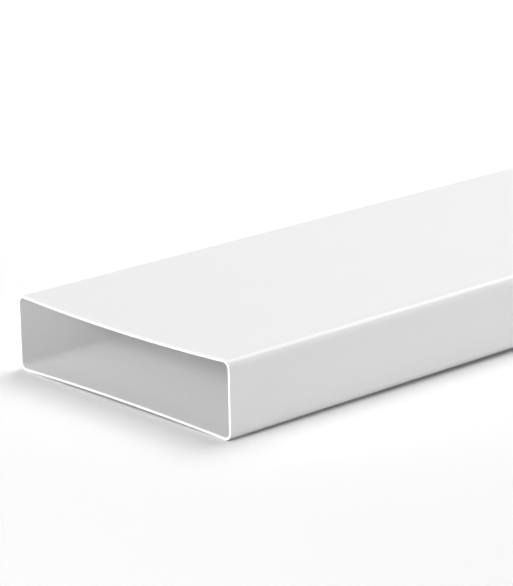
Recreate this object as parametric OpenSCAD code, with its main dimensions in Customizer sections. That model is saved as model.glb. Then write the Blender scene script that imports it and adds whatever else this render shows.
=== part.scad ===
// Flat channel duct: one length of extruded rigid plastic ventilation channel with square-cut open ends.
// The two narrow walls are straight. The two wide walls bow in towards the air passage, and each bow
// runs smoothly into the rounded long corners, so the wall is one even skin all the way round.
// Millimetres, +Z up. The channel lies flat: width along X, length along Y, height along Z.
// The origin is at the middle of the footprint, level with the underside of the two lower corners.

/* [Section] */

// Outside width, over the two narrow walls
duct_width = 220; // [180:2:240]

// Outside height, over the rounded corners
duct_height = 55; // [40:1:100]

// Thickness of the extruded wall, the same all the way round
wall = 1.8; // [1.2:0.1:3]

// Outside radius of the four long corners
corner_radius = 6; // [4:0.5:12]

/* [Bow of the wide walls] */

// Drop of the top wall at mid-width, below its two corners
top_sag = 2.6; // [1.4:0.2:5]

// Rise of the bottom wall at mid-width, above its two corners
bottom_rise = 1.6; // [1.4:0.2:5]

/* [Length] */

// Length between the two square cuts
duct_length = 1000; // [250:50:2000]

/* [Hidden] */

$fn = 96;
bow_facets = 1440;

// Centres of the corner radii, from the middle of the section.
corner_x = duct_width / 2 - corner_radius;
corner_z = duct_height / 2 - corner_radius;

// Everything inside the skin at a depth below the outside face: 0 gives the outline of the channel,
// the wall thickness gives the air passage. Drawn about the middle of the section.
module section(depth) {
    half_section(top_sag, depth);
    mirror([0, 1])
        half_section(bottom_rise, depth);
}

// The upper half of the section: a plain block, less the bow and less what lies outside the two corner
// radii. The bow is an arc that touches both corner radii from outside, so the distance from its
// centre to a corner centre, the reach, is the sum of the two radii. With the centre over mid-width,
// reach^2 = corner_x^2 + (reach - bow)^2. The radius is kept to a tenth of a millimetre.
module half_section(bow, depth) {
    exact_reach = (corner_x * corner_x + bow * bow) / (2 * bow);
    bow_radius = round(10 * (exact_reach - corner_radius)) / 10;
    reach = bow_radius + corner_radius;
    centre_rise = sqrt(reach * reach - corner_x * corner_x);
    side_x = duct_width / 2 - depth;
    difference() {
        translate([-side_x, 0])
            square([2 * side_x, corner_z + corner_radius]);
        raise(corner_z + centre_rise)
            circle(r = bow_radius + depth, $fn = bow_facets);
        outside_corner(depth, corner_x / reach, centre_rise / reach);
        mirror([1, 0])
            outside_corner(depth, corner_x / reach, centre_rise / reach);
    }
}

// What lies outside the right corner radius. It starts on the line from the corner's centre to the
// centre of the bow, where the two arcs touch; lean_x and lean_z are that line's direction.
module outside_corner(depth, lean_x, lean_z) {
    far = 2 * corner_radius;
    translate([corner_x, corner_z])
        difference() {
            polygon([[0, 0], [far, 0], [far, far], [-far * lean_x, far * lean_z]]);
            circle(r = corner_radius - depth);
        }
}

// Moves up in three steps, whole millimetres first, because a step is exported with six digits.
module raise(height) {
    whole = floor(height);
    fine = floor(10000 * (height - whole)) / 10000;
    translate([0, whole])
        translate([0, fine])
            translate([0, height - whole - fine])
                children();
}

// The channel, extruded along its length and cut square at both ends.
module channel_duct() {
    color("white")
        translate([0, duct_length / 2, duct_height / 2])
            rotate([90, 0, 0])
                linear_extrude(height = duct_length)
                    difference() {
                        section(0);
                        section(wall);
                    }
}

channel_duct();
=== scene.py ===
"""Flat channel duct in white rigid plastic, on a pale studio floor, its open end to the left.

The channel is one extrusion, so it is one piece: the skin of its section carried along its length,
with square sawn rims at both ends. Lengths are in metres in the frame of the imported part: X across
the width, Y along the length away from the near end, Z up from the underside of the lower corners.
"""

import logging
import math
from dataclasses import dataclass, field
from enum import Enum

import bpy
import numpy as np
from mathutils import Matrix, Vector


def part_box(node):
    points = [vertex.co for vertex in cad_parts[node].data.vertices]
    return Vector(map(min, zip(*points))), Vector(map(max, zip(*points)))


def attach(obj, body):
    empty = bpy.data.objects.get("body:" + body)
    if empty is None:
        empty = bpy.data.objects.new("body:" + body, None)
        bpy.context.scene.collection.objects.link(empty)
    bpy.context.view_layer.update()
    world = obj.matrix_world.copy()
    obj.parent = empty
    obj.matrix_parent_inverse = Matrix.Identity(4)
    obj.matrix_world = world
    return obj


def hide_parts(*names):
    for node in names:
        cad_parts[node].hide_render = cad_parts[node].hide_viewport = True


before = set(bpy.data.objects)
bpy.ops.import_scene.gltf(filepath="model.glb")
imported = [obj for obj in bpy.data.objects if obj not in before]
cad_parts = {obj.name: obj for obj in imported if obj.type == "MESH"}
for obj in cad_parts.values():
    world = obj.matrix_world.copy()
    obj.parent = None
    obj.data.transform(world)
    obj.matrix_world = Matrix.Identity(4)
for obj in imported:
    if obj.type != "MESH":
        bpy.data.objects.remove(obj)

LOG = logging.getLogger("flat_channel")

MM = 0.001
NODE = "channel_duct"
BODY = "root"

IMAGE_WIDTH_PX = 513
IMAGE_HEIGHT_PX = 586
SENSOR_MM = 36.0
CLIP_END = 50.0

WHITE = (1.0, 1.0, 1.0, 1.0)
PLASTIC_IOR = 1.53


class Surface(Enum):
    """The two finishes on the channel, by the index of their material slot."""

    EXTRUDED = 0
    SAWN = 1


def away(azimuth_deg: float, elevation_deg: float) -> Vector:
    """The direction of a lamp or camera, seen from the channel.

    It is (sin a cos e, -cos a cos e, sin e) for the azimuth a, 0 in front of the near end and 90 on
    the right, and the elevation e.

    Args:
        azimuth_deg: Azimuth in degrees.
        elevation_deg: Elevation in degrees.

    Returns:
        A unit vector.
    """
    azimuth, elevation = math.radians(azimuth_deg), math.radians(elevation_deg)
    return Vector((math.sin(azimuth) * math.cos(elevation),
                   -math.cos(azimuth) * math.cos(elevation), math.sin(elevation)))


@dataclass(frozen=True)
class Arc:
    """A run of the section's outline: part of a circle, with the side that faces outwards."""

    centre: tuple[float, float]
    radius: float
    start_deg: float
    end_deg: float
    cells: int
    bulges_out: bool

    def sample(self) -> tuple[np.ndarray, np.ndarray]:
        """Points and outward normals at even angles, the last point left to the next run.

        A point is centre + radius * (cos angle, sin angle). The outward normal is that direction on
        a corner radius and its opposite on a bow, whose centre is outside the channel.

        Returns:
            Two arrays of (x, z) rows.
        """
        angle = np.radians(np.linspace(self.start_deg, self.end_deg, self.cells, endpoint=False))
        ray = np.stack([np.cos(angle), np.sin(angle)], axis=1)
        return np.array(self.centre) + self.radius * ray, ray if self.bulges_out else -ray


@dataclass(frozen=True)
class Flat:
    """A straight run of the section's outline: a narrow wall."""

    start: tuple[float, float]
    end: tuple[float, float]
    outward: tuple[float, float]
    cells: int

    def sample(self) -> tuple[np.ndarray, np.ndarray]:
        """Points evenly from start to end, the last left to the next run, with one outward normal.

        Returns:
            Two arrays of (x, z) rows.
        """
        share = np.linspace(0.0, 1.0, self.cells, endpoint=False)[:, None]
        points = (1.0 - share) * np.array(self.start) + share * np.array(self.end)
        return points, np.tile(np.array(self.outward), (self.cells, 1))


@dataclass(frozen=True)
class ChannelSection:
    """The channel's outside outline: straight narrow walls, corner radii and bowed wide walls."""

    width: float
    height: float
    wall: float = 1.8 * MM
    corner_radius: float = 6.0 * MM
    top_sag: float = 2.6 * MM
    bottom_rise: float = 1.6 * MM
    bow_cells: int = 72
    corner_cells: int = 20
    side_cells: int = 16

    def bow_angle(self, bow: float) -> float:
        """Half the angle of a bow, in degrees, from the section's middle line to where it ends.

        Args:
            bow: Depth of the bow at mid-width.

        Returns:
            The angle whose sine is corner_x over the reach.
        """
        return math.degrees(math.asin(self.corner_x / self.reach(bow)))

    def reach(self, bow: float) -> float:
        """From a bow's centre to a corner centre: reach^2 = corner_x^2 + (reach - bow)^2."""
        return (self.corner_x ** 2 + bow ** 2) / (2.0 * bow)

    @property
    def corner_x(self) -> float:
        """Distance of the corner centres from the middle line."""
        return self.width / 2.0 - self.corner_radius

    def runs(self) -> list[Arc | Flat]:
        """The outline's runs, anticlockwise seen from the near end, from the bottom's left end.

        Returns:
            Bottom bow, right side, top bow and left side, with a corner radius between each two.
        """
        x, r = self.corner_x, self.corner_radius
        low, high, half = r, self.height - r, self.width / 2.0
        top, bottom = self.bow_angle(self.top_sag), self.bow_angle(self.bottom_rise)
        top_reach, bottom_reach = self.reach(self.top_sag), self.reach(self.bottom_rise)
        top_centre = (0.0, high + top_reach - self.top_sag)
        bottom_centre = (0.0, low - bottom_reach + self.bottom_rise)
        corner, bow = self.corner_cells, self.bow_cells
        return [
            Arc(bottom_centre, bottom_reach - r, 90.0 + bottom, 90.0 - bottom, bow, False),
            Arc((x, low), r, 270.0 - bottom, 360.0, corner, True),
            Flat((half, low), (half, high), (1.0, 0.0), self.side_cells),
            Arc((x, high), r, 0.0, 90.0 + top, corner, True),
            Arc(top_centre, top_reach - r, 270.0 + top, 270.0 - top, bow, False),
            Arc((-x, high), r, 90.0 - top, 180.0, corner, True),
            Flat((-half, high), (-half, low), (-1.0, 0.0), self.side_cells),
            Arc((-x, low), r, 180.0, 270.0 + bottom, corner, True),
        ]

    def outline(self) -> tuple[np.ndarray, np.ndarray]:
        """The closed outline.

        Returns:
            Points and outward normals, as two arrays of (x, z) rows.
        """
        samples = [run.sample() for run in self.runs()]
        return np.concatenate([s[0] for s in samples]), np.concatenate([s[1] for s in samples])


@dataclass(frozen=True)
class WallLoop:
    """The closed path round the wall's own section, in the plane of the length and the depth.

    It runs along the outside to the far end, over the far rim, back along the inside and over the
    near rim. Depth is measured from the outside face into the wall.
    """

    length: float
    wall: float
    edge_radius: float = 0.22 * MM
    support: float = 0.5 * MM
    length_cells: int = 90
    edge_cells: int = 4
    rim_cells: int = 4

    def half(self) -> tuple[np.ndarray, np.ndarray, np.ndarray]:
        """The outside skin, the far outer edge, the far rim and the far inner edge.

        An edge is a quarter circle of the edge radius. The skin has one close row of cells at each
        end, so that its shading stays flat up to the edge.

        Returns:
            Place along the length, depth, and 1 where the saw has cut or 0 on the skin.
        """
        flat_end = self.length / 2.0 - self.edge_radius
        inner = np.linspace(-flat_end + self.support, flat_end - self.support, self.length_cells)
        skin = np.concatenate([[-flat_end], inner])
        quarter = np.linspace(0.0, math.pi / 2.0, self.edge_cells + 1)
        rim = np.linspace(self.edge_radius, self.wall - self.edge_radius, self.rim_cells + 1)[1:-1]
        along = [
            skin,
            flat_end + self.edge_radius * np.sin(quarter),
            np.full(rim.size, self.length / 2.0),
            flat_end + self.edge_radius * np.cos(quarter[:-1]),
        ]
        depth = [
            np.zeros(skin.size),
            self.edge_radius * (1.0 - np.cos(quarter)),
            rim,
            self.wall - self.edge_radius * (1.0 - np.sin(quarter[:-1])),
        ]
        sawn = [
            np.zeros(skin.size),
            np.ones(quarter.size),
            np.ones(rim.size),
            np.ones(quarter.size - 1),
        ]
        return np.concatenate(along), np.concatenate(depth), np.concatenate(sawn)

    def path(self) -> tuple[np.ndarray, np.ndarray, np.ndarray]:
        """The whole loop: the half, and the same half turned end for end and inside out.

        Returns:
            Place along the length, depth, and the sawn mask.
        """
        along, depth, sawn = self.half()
        return (
            np.concatenate([along, -along]),
            np.concatenate([depth, self.wall - depth]),
            np.concatenate([sawn, sawn]),
        )


@dataclass
class ChannelDuct:
    """The channel: its section carried round the wall loop, with the finish on each surface."""

    section: ChannelSection
    length: float
    skin: "ExtrudedSkin"
    rim: "SawnRim"
    wave_depth: float = 0.05 * MM
    wave_lengths: tuple[float, float, float] = (0.41, 0.173, 0.097)
    wave_turns: tuple[float, float, float] = (2.0, 3.0, 5.0)
    piece: bpy.types.Object | None = field(default=None, init=False)

    def waviness(self, around: np.ndarray, along: np.ndarray) -> np.ndarray:
        """How far the wall has drawn in as the extrusion cooled.

        The mean of three sine waves, each running along the length and turning round the section by
        a whole number of turns, moved up so that it lies between 0 and the wave depth.

        Args:
            around: Share of the way round the outline, 0 to 1.
            along: Place along the length.

        Returns:
            Depth at each pair of values.
        """
        total = np.zeros(np.broadcast(around, along).shape)
        for wave_length, turns in zip(self.wave_lengths, self.wave_turns):
            total += np.sin(2.0 * math.pi * (along / wave_length + turns * around))
        return self.wave_depth * (0.5 + total / (2.0 * len(self.wave_lengths)))

    def grid(self) -> tuple[np.ndarray, np.ndarray]:
        """The surface on its grid of outline points by loop points.

        A point is the outline point, less its outward normal times the depth and the waviness, at
        its place along the length.

        Returns:
            Coordinates with shape (around, loop, 3), and the sawn mask along the loop.
        """
        points, normals = self.section.outline()
        along, depth, sawn = WallLoop(self.length, self.section.wall).path()
        around = np.linspace(0.0, 1.0, len(points), endpoint=False)[:, None]
        inset = depth[None, :] + self.waviness(around, along[None, :])
        flat = points[:, None, :] - inset[:, :, None] * normals[:, None, :]
        place = np.broadcast_to(along, inset.shape)
        return np.stack([flat[:, :, 0], place, flat[:, :, 1]], axis=2), sawn

    def build(self) -> bpy.types.Object:
        """Makes the mesh: one four-cornered face between each two neighbours both ways round.

        Returns:
            The finished piece, in the scene.
        """
        grid, sawn = self.grid()
        rows, columns = grid.shape[:2]
        row, column = np.meshgrid(np.arange(rows), np.arange(columns), indexing="ij")
        next_row, next_column = (row + 1) % rows, (column + 1) % columns
        corners = [
            row * columns + column,
            row * columns + next_column,
            next_row * columns + next_column,
            next_row * columns + column,
        ]
        faces = np.stack(corners, axis=-1).reshape(-1, 4)
        is_sawn = (sawn[column] + sawn[next_column]).ravel() > 0.5
        mesh = bpy.data.meshes.new(NODE + "_shell")
        mesh.from_pydata(grid.reshape(-1, 3), [], faces)
        mesh.materials.append(self.skin.material())
        mesh.materials.append(self.rim.material())
        slots = np.where(is_sawn, Surface.SAWN.value, Surface.EXTRUDED.value).astype(np.int32)
        mesh.polygons.foreach_set("material_index", slots)
        mesh.polygons.foreach_set("use_smooth", np.ones(len(faces), dtype=bool))
        mesh.update()
        self.piece = bpy.data.objects.new("extruded_channel", mesh)
        bpy.context.scene.collection.objects.link(self.piece)
        return self.piece

    def place(self) -> None:
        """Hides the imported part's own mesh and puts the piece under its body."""
        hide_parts(NODE)
        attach(self.piece, BODY)


@dataclass
class Nodes:
    """Adds and joins shader nodes in one node tree."""

    tree: bpy.types.NodeTree

    def add(self, kind: str, settings: dict | None = None, **inputs: object) -> bpy.types.Node:
        """Adds a node and sets its inputs.

        Args:
            kind: Blender's name of the node type.
            settings: Properties of the node itself.
            **inputs: Input sockets by name, with _ for a space: a value, or an output to join.

        Returns:
            The new node.
        """
        node = self.tree.nodes.new(kind)
        for name, value in (settings or {}).items():
            setattr(node, name, value)
        for name, value in inputs.items():
            self.feed(node, name.replace("_", " "), value)
        return node

    def feed(self, node: bpy.types.Node, name: str | int, value: object) -> None:
        """Joins an output to a node's input, or sets the input's value.

        Args:
            node: Node that takes the input.
            name: Name or number of the input.
            value: An output socket, or a plain value.
        """
        if isinstance(value, bpy.types.NodeSocket):
            self.tree.links.new(value, node.inputs[name])
        else:
            node.inputs[name].default_value = value


class PlasticTexture:
    """The marks that both finishes share, as one node group.

    Streaks run along the extrusion, because the noise is read at length_share of the place along
    it. A cloud is slow noise for the tint. Grain is fine noise for the gloss and the relief.
    """

    name = "plastic_texture"
    scales = {"Streak Scale": 260.0, "Cloud Scale": 9.0, "Grain Scale": 1500.0}
    length_share = 0.004

    @classmethod
    def group(cls) -> bpy.types.NodeTree:
        """The group, built on first use.

        Returns:
            A node tree with inputs for the place and the three scales, and outputs Streaks, Cloud
            and Grain, each 0 to 1.
        """
        if cls.name in bpy.data.node_groups:
            return bpy.data.node_groups[cls.name]
        tree = bpy.data.node_groups.new(cls.name, "ShaderNodeTree")
        tree.interface.new_socket("Place", in_out="INPUT", socket_type="NodeSocketVector")
        for name, value in cls.scales.items():
            socket = tree.interface.new_socket(name, in_out="INPUT", socket_type="NodeSocketFloat")
            socket.default_value = value
        for name in ("Streaks", "Cloud", "Grain"):
            tree.interface.new_socket(name, in_out="OUTPUT", socket_type="NodeSocketFloat")
        nodes = Nodes(tree)
        inside = nodes.add("NodeGroupInput")
        drawn_out = nodes.add("ShaderNodeVectorMath", {"operation": "MULTIPLY"})
        nodes.feed(drawn_out, 0, inside.outputs["Place"])
        nodes.feed(drawn_out, 1, (1.0, cls.length_share, 1.0))
        streaks = nodes.add("ShaderNodeTexNoise", Vector=drawn_out.outputs[0], Detail=3.0,
                            Roughness=0.6, Scale=inside.outputs["Streak Scale"])
        cloud = nodes.add("ShaderNodeTexNoise", Vector=inside.outputs["Place"], Detail=2.0,
                          Scale=inside.outputs["Cloud Scale"])
        grain = nodes.add("ShaderNodeTexNoise", Vector=inside.outputs["Place"], Detail=2.0,
                          Scale=inside.outputs["Grain Scale"])
        nodes.add("NodeGroupOutput", Streaks=streaks.outputs["Fac"], Cloud=cloud.outputs["Fac"],
                  Grain=grain.outputs["Fac"])
        return tree


@dataclass
class PlasticShader:
    """A white plastic material in the making: its shader, its nodes and the marks on it."""

    name: str
    material: bpy.types.Material = field(init=False)
    nodes: Nodes = field(init=False)
    place: bpy.types.NodeSocket = field(init=False)
    marks: bpy.types.Node = field(init=False)

    def __post_init__(self) -> None:
        """Adds the material, its place on the object and the shared marks."""
        self.material = bpy.data.materials.new(self.name)
        self.material.use_nodes = True
        self.nodes = Nodes(self.material.node_tree)
        self.place = self.nodes.add("ShaderNodeTexCoord").outputs["Object"]
        texture = {"node_tree": PlasticTexture.group()}
        self.marks = self.nodes.add("ShaderNodeGroup", texture, Place=self.place)

    def combine(self, operation: str, first: object, second: object) -> bpy.types.NodeSocket:
        """Two masks in one.

        Args:
            operation: Blender's name of the sum.
            first: An output or a value.
            second: An output or a value.

        Returns:
            The output of the sum.
        """
        node = self.nodes.add("ShaderNodeMath", {"operation": operation})
        self.nodes.feed(node, 0, first)
        self.nodes.feed(node, 1, second)
        return node.outputs[0]

    def tint(self, mask: bpy.types.NodeSocket, white: tuple[float, float, float],
             shaded_white: tuple[float, float, float]) -> bpy.types.NodeSocket:
        """The colour, from white where the mask is 0 to shaded white where it is 1.

        Args:
            mask: Mask from 0 to 1.
            white: Colour at 0.
            shaded_white: Colour at 1.

        Returns:
            The output that carries the colour.
        """
        mix = self.nodes.add("ShaderNodeMix", {"data_type": "RGBA"})
        self.nodes.feed(mix, "Factor", mask)
        self.nodes.feed(mix, "A", (*white, 1.0))
        self.nodes.feed(mix, "B", (*shaded_white, 1.0))
        return mix.outputs["Result"]

    def spread(self, values: bpy.types.NodeSocket, given: tuple[float, float],
               wanted: tuple[float, float]) -> bpy.types.NodeSocket:
        """Values moved evenly from one span to another, and held at its ends.

        Args:
            values: Values to move.
            given: Lowest and highest of them.
            wanted: What those two become.

        Returns:
            The output that carries the moved values.
        """
        node = self.nodes.add("ShaderNodeMapRange", Value=values)
        for name, value in zip(("From Min", "From Max", "To Min", "To Max"), (*given, *wanted)):
            self.nodes.feed(node, name, value)
        return node.outputs["Result"]

    def finish(self, colour: bpy.types.NodeSocket, roughness: bpy.types.NodeSocket,
               height: bpy.types.NodeSocket, relief: float) -> bpy.types.Material:
        """Joins everything to the shader.

        Args:
            colour: Base colour.
            roughness: Roughness.
            height: Relief as a mask.
            relief: Height that a mask of 1 stands for.

        Returns:
            The finished material.
        """
        shader = self.material.node_tree.nodes["Principled BSDF"]
        bump = self.nodes.add("ShaderNodeBump", Strength=1.0, Distance=relief, Height=height)
        self.nodes.feed(shader, "Base Color", colour)
        self.nodes.feed(shader, "Roughness", roughness)
        self.nodes.feed(shader, "Normal", bump.outputs["Normal"])
        shader.inputs["IOR"].default_value = PLASTIC_IOR
        return self.material


@dataclass(frozen=True)
class ExtrudedSkin:
    """Smooth white skin from the die: softly glossy, with faint die lines along the length."""

    white: tuple[float, float, float] = (0.865, 0.865, 0.871)
    shaded_white: tuple[float, float, float] = (0.855, 0.855, 0.863)
    mark_span: tuple[float, float] = (0.6, 1.4)
    gloss_span: tuple[float, float] = (0.275, 0.295)
    relief: float = 0.0004 * MM

    def material(self) -> bpy.types.Material:
        """The material: cloud tints the colour, grain and streaks move the gloss and the relief.

        Returns:
            The finished material.
        """
        plastic = PlasticShader("extruded_white_plastic")
        marks = plastic.marks.outputs
        colour = plastic.tint(marks["Cloud"], self.white, self.shaded_white)
        mark_sum = plastic.combine("ADD", marks["Streaks"], marks["Grain"])
        gloss = plastic.spread(mark_sum, self.mark_span, self.gloss_span)
        return plastic.finish(colour, gloss, mark_sum, self.relief)


@dataclass(frozen=True)
class SawnRim:
    """Sawn plastic: a white close to the skin's, but matt, with fine tooth marks across the rim."""

    white: tuple[float, float, float] = (0.85, 0.85, 0.855)
    # shaded_white: the saw marks' own darker tone, with painted shade of the rough grooves in it
    shaded_white: tuple[float, float, float] = (0.79, 0.79, 0.795)
    matt_span: tuple[float, float] = (0.45, 0.7)
    grain_scale: float = 2500.0
    tooth_scale: float = 350.0
    tooth_distortion: float = 3.0
    relief: float = 0.02 * MM

    def material(self) -> bpy.types.Material:
        """The material: tooth marks and grain move gloss and relief, and colour as marks plus
        painted shade.

        Returns:
            The finished material.
        """
        plastic = PlasticShader("sawn_white_plastic")
        plastic.nodes.feed(plastic.marks, "Grain Scale", self.grain_scale)
        teeth = plastic.nodes.add("ShaderNodeTexWave", {"bands_direction": "DIAGONAL"},
                                  Vector=plastic.place, Scale=self.tooth_scale,
                                  Distortion=self.tooth_distortion, Detail=2.0)
        # The colour darkens where teeth and grain meet: real saw marks plus painted shade in the
        # grooves
        saw_marks_and_groove_shade = plastic.combine("MULTIPLY", teeth.outputs["Fac"], plastic.marks.outputs["Grain"])
        colour = plastic.tint(saw_marks_and_groove_shade, self.white, self.shaded_white)
        matt = plastic.spread(saw_marks_and_groove_shade, (0.0, 1.0), self.matt_span)
        return plastic.finish(colour, matt, saw_marks_and_groove_shade, self.relief)


class Reach(Enum):
    """What a lamp lights: each lamp lights either the channel or the floor."""

    CHANNEL = "channel"
    FLOOR = "floor"


@dataclass(frozen=True)
class SoftLamp:
    """A square soft lamp that looks at the near end of the channel."""

    name: str
    azimuth_deg: float
    elevation_deg: float
    distance: float
    size: float
    level: float
    reach: Reach
    in_gloss: bool = False

    def build(self, target: Vector, lit: dict[Reach, bpy.types.Collection]) -> bpy.types.Object:
        """Adds the lamp, with the power at which a matt white card at the target reads level.

        A square lamp of power P and size s shines P / (pi s^2) per unit solid angle and area, and
        lights a facing card at distance d by P / (pi d^2), which a white card sends back over pi.
        A lamp that isn't in_gloss lights the channel, but doesn't show in reflections on it.

        Args:
            target: Point that it looks at.
            lit: The collection that each reach lights.

        Returns:
            The lamp.
        """
        back = away(self.azimuth_deg, self.elevation_deg)
        light = bpy.data.lights.new(self.name, "AREA")
        light.shape = "SQUARE"
        light.size = self.size
        light.energy = self.level * (math.pi * self.distance) ** 2
        lamp = bpy.data.objects.new(self.name, light)
        lamp.location = target + self.distance * back
        lamp.rotation_euler = back.to_track_quat("Z", "Y").to_euler()
        bpy.context.scene.collection.objects.link(lamp)
        lamp.light_linking.receiver_collection = lit[self.reach]
        lamp.visible_glossy = self.in_gloss
        return lamp


def seen_rays(nodes: Nodes) -> bpy.types.NodeSocket:
    """The rays that show a white background: 1 for a camera, glossy or transmission ray, else 0.

    Args:
        nodes: The node tree of the floor or of the world.

    Returns:
        The output that carries the mask.
    """
    rays = nodes.add("ShaderNodeLightPath")
    seen = rays.outputs["Is Camera Ray"]
    for kind in ("Is Glossy Ray", "Is Transmission Ray"):
        both = nodes.add("ShaderNodeMath", {"operation": "MAXIMUM"})
        nodes.feed(both, 0, seen)
        nodes.feed(both, 1, rays.outputs[kind])
        seen = both.outputs[0]
    return seen


@dataclass
class Studio:
    """The pale floor, the soft lamps and the white surroundings.

    The lamps look at the target. camera_lift is the white that is added to the floor near the
    channel, for the camera and in reflections alone, and surround_level is the light that comes
    from all round.
    """

    target: Vector
    channel: bpy.types.Object
    floor_size: float = 14.0
    floor_dip: float = 2.0 * MM
    dip_cells: int = 40
    floor_white: float = 0.97
    camera_lift: float = 0.06
    lift_near: float = 0.5
    lift_far: float = 2.6
    surround_level: float = 0.1
    lamps: tuple[SoftLamp, ...] = (
        SoftLamp("key_lamp", 180.0, 50.0, 2.6, 1.6, 0.375, Reach.CHANNEL, in_gloss=True),
        SoftLamp("overhead_lamp", 180.0, 72.0, 1.2, 0.6, 0.09, Reach.CHANNEL),
        SoftLamp("back_lamp", 180.0, 11.0, 4.0, 1.4, 0.20, Reach.CHANNEL),
        SoftLamp("left_lamp", -100.0, 20.0, 3.0, 1.5, 0.20, Reach.CHANNEL),
        SoftLamp("side_lamp", 132.0, 17.0, 1.4, 0.7, 0.14, Reach.CHANNEL),
        SoftLamp("front_right_lamp", 9.5, 20.0, 4.0, 2.0, 0.90, Reach.CHANNEL),
        SoftLamp("front_left_lamp", -13.0, 20.0, 4.0, 1.8, 0.31, Reach.CHANNEL),
        SoftLamp("floor_key_lamp", 202.0, 53.0, 3.5, 1.8, 0.30, Reach.FLOOR),
        SoftLamp("floor_back_lamp", 170.0, 65.0, 3.5, 1.8, 0.25, Reach.FLOOR),
        SoftLamp("floor_top_lamp", 180.0, 88.0, 3.5, 2.0, 0.16, Reach.FLOOR),
        SoftLamp("floor_left_lamp", -90.0, 60.0, 3.0, 1.5, 0.10, Reach.FLOOR),
        SoftLamp("floor_front_lamp", 0.0, 45.0, 4.0, 2.0, 0.28, Reach.FLOOR),
    )

    def build(self) -> None:
        """Adds the floor, the lamps and the world."""
        lit: dict[Reach, bpy.types.Collection] = {}
        for reach, piece in ((Reach.FLOOR, self.build_floor()), (Reach.CHANNEL, self.channel)):
            lit[reach] = bpy.data.collections.new("lit_" + reach.value)
            lit[reach].objects.link(piece)
        for lamp in self.lamps:
            lamp.build(self.target, lit)
        self.build_surround()

    def build_floor(self) -> bpy.types.Object:
        """A matt white sheet, level with the underside of the channel at both its ends.

        A cut length bows a little and stands on its ends. The channel is straight here, so the
        sheet is lower under it instead: by floor_dip * (1 - t^2) at the share t of the half length.

        Returns:
            The floor, in the scene.
        """
        half, reach = self.floor_size / 2.0, self.channel.dimensions.y / 2.0
        under = np.linspace(-1.0, 1.0, self.dip_cells + 1)
        share = np.concatenate([[-half / reach], under, [half / reach]])
        height = -self.floor_dip * np.clip(1.0 - share ** 2, 0.0, None)
        rows = [np.stack([np.full(share.size, x), reach * share, height], axis=1)
                for x in (-half, half)]
        row = np.arange(share.size - 1)
        faces = np.stack([row, row + share.size, row + share.size + 1, row + 1], axis=1)
        mesh = bpy.data.meshes.new("studio_floor")
        mesh.from_pydata(np.concatenate(rows), [], faces)
        mesh.polygons.foreach_set("use_smooth", np.ones(len(faces), dtype=bool))
        mesh.materials.append(self.floor_material())
        floor = bpy.data.objects.new("studio_floor", mesh)
        bpy.context.scene.collection.objects.link(floor)
        return floor

    def floor_material(self) -> bpy.types.Material:
        """Matt white paper, with some white added for the camera and in reflections.

        The lamps light the floor round the channel, and it keeps the shadow there. Further out,
        from lift_near to lift_far from the middle, the added white rises from camera_lift to 1,
        the white of the surroundings, by 3t^2 - 2t^3 of the share t of the way.

        Returns:
            The floor's material.
        """
        material = bpy.data.materials.new("studio_white")
        material.use_nodes = True
        shader = material.node_tree.nodes["Principled BSDF"]
        shader.inputs["Base Color"].default_value = (*[self.floor_white] * 3, 1.0)
        shader.inputs["Roughness"].default_value = 1.0
        shader.inputs["Specular IOR Level"].default_value = 0.0
        shader.inputs["Emission Color"].default_value = WHITE
        nodes = Nodes(material.node_tree)
        place = nodes.add("ShaderNodeTexCoord").outputs["Object"]
        from_middle = nodes.add("ShaderNodeVectorMath", {"operation": "LENGTH"}, Vector=place)
        white = nodes.add("ShaderNodeMapRange", {"interpolation_type": "SMOOTHSTEP"},
                          Value=from_middle.outputs["Value"])
        nodes.feed(white, "From Min", self.lift_near)
        nodes.feed(white, "From Max", self.lift_far)
        nodes.feed(white, "To Min", self.camera_lift)
        nodes.feed(white, "To Max", 1.0)
        lift = nodes.add("ShaderNodeMath", {"operation": "MULTIPLY"})
        nodes.feed(lift, 0, seen_rays(nodes))
        nodes.feed(lift, 1, white.outputs["Result"])
        nodes.feed(shader, "Emission Strength", lift.outputs[0])
        return material

    def build_surround(self) -> None:
        """White to the camera and in reflections, and a softer even light on everything else."""
        world = bpy.data.worlds.new("studio_surround")
        world.use_nodes = True
        nodes = Nodes(world.node_tree)
        strength = nodes.add("ShaderNodeMapRange", Value=seen_rays(nodes))
        nodes.feed(strength, "To Min", self.surround_level)
        nodes.feed(strength, "To Max", 1.0)
        background = world.node_tree.nodes["Background"]
        background.inputs["Color"].default_value = WHITE
        nodes.feed(background, "Strength", strength.outputs["Result"])
        bpy.context.scene.world = world


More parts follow.
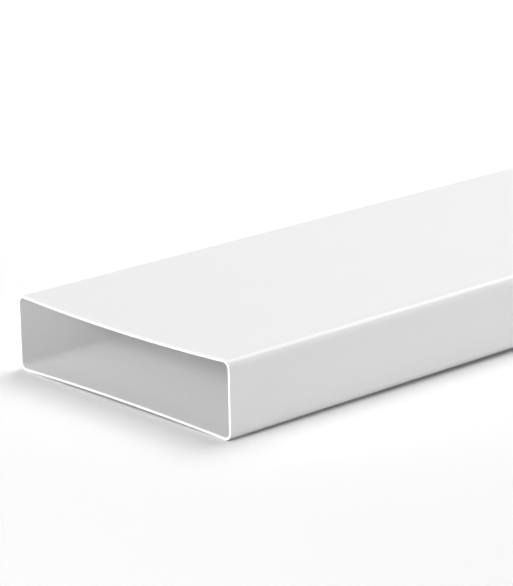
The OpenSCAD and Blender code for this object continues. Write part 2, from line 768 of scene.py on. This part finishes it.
@dataclass(frozen=True)
class ProductCamera:
    """The camera, set by where it sees the near lower right corner of the channel."""

    azimuth_deg: float = 47.502
    elevation_deg: float = 16.448
    roll_deg: float = -1.057
    focal_px: float = 2717.66
    distance: float = 1.76102
    corner_px: tuple[float, float] = (230.98, 442.41)

    def axes(self) -> tuple[Vector, Vector, Vector]:
        """The camera's right, up and back directions, turned round back by the roll.

        Returns:
            Three unit vectors.
        """
        azimuth, roll = math.radians(self.azimuth_deg), math.radians(self.roll_deg)
        back = away(self.azimuth_deg, self.elevation_deg)
        level_right = Vector((math.cos(azimuth), math.sin(azimuth), 0.0))
        level_up = back.cross(level_right)
        right = math.cos(roll) * level_right + math.sin(roll) * level_up
        up = math.cos(roll) * level_up - math.sin(roll) * level_right
        return right, up, back

    def build(self, corner: Vector) -> bpy.types.Object:
        """Adds the camera and makes it the scene's own.

        The corner lies at the distance in front of the camera, and off its axis by the distance
        over the focal length for each pixel that its image is off the middle of the picture.

        Args:
            corner: The near lower right corner of the channel's box.

        Returns:
            The camera.
        """
        right, up, back = self.axes()
        per_px = self.distance / self.focal_px
        off_right = (self.corner_px[0] - IMAGE_WIDTH_PX / 2.0) * per_px
        off_up = (IMAGE_HEIGHT_PX / 2.0 - self.corner_px[1]) * per_px
        data = bpy.data.cameras.new("product_camera")
        data.sensor_fit = "AUTO"
        data.sensor_width = SENSOR_MM
        data.lens = self.focal_px * SENSOR_MM / max(IMAGE_WIDTH_PX, IMAGE_HEIGHT_PX)
        data.clip_end = CLIP_END
        camera = bpy.data.objects.new("product_camera", data)
        turn = Matrix((right, up, back)).transposed().to_4x4()
        place = corner - off_right * right - off_up * up + self.distance * back
        camera.matrix_world = Matrix.Translation(place) @ turn
        bpy.context.scene.collection.objects.link(camera)
        bpy.context.scene.camera = camera
        return camera


def main() -> None:
    """Builds the channel and its studio."""
    logging.basicConfig(level=logging.INFO, format="%(name)s: %(message)s")
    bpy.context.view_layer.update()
    low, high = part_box(NODE)
    size = high - low
    section = ChannelSection(width=size.x, height=size.z)
    duct = ChannelDuct(section, size.y, ExtrudedSkin(), SawnRim())
    piece = duct.build()
    duct.place()
    LOG.info("%s: %d faces, %.0f x %.0f x %.0f mm", piece.name, len(piece.data.polygons),
             *(value / MM for value in piece.dimensions))
    near_corner = Vector((high.x, low.y, low.z))
    ProductCamera().build(near_corner)
    Studio(target=Vector((0.0, low.y, 0.0)), channel=piece).build()
    bpy.context.scene.view_settings.view_transform = "Standard"
    LOG.info("studio: floor, lamps and camera in place")


if __name__ == "__main__":
    main()
